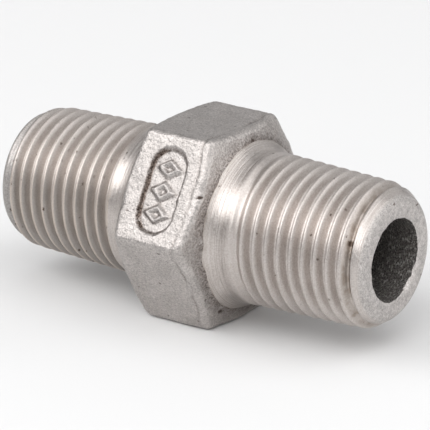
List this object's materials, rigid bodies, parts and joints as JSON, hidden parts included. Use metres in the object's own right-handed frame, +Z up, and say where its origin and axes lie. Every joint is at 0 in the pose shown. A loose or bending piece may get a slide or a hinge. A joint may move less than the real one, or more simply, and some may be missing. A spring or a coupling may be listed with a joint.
{
  "type": "hex nipple",
  "caption": "Pipe nipple with a wrench hexagon in the middle, a taper-threaded barrel at each end and a through bore, cast and machined in stainless steel.",
  "frame": {"origin": "middle of the fitting, on the bore's axis, halfway between the two end faces", "axes": "+X along the bore towards the right-hand end, +Z up, with the fitting lying on the lower flat of its hexagon, two of whose edges lie on +Y and -Y"},
  "size_m": [0.0286, 0.0148, 0.013],
  "materials": {
    "stainless_steel": "matt cast hexagon with fine grain, satin machined barrels, dark as-cast bore"
  },
  "bodies": {
    "root": {"hex_nipple": "stainless_steel"}
  },
  "joints": []
}
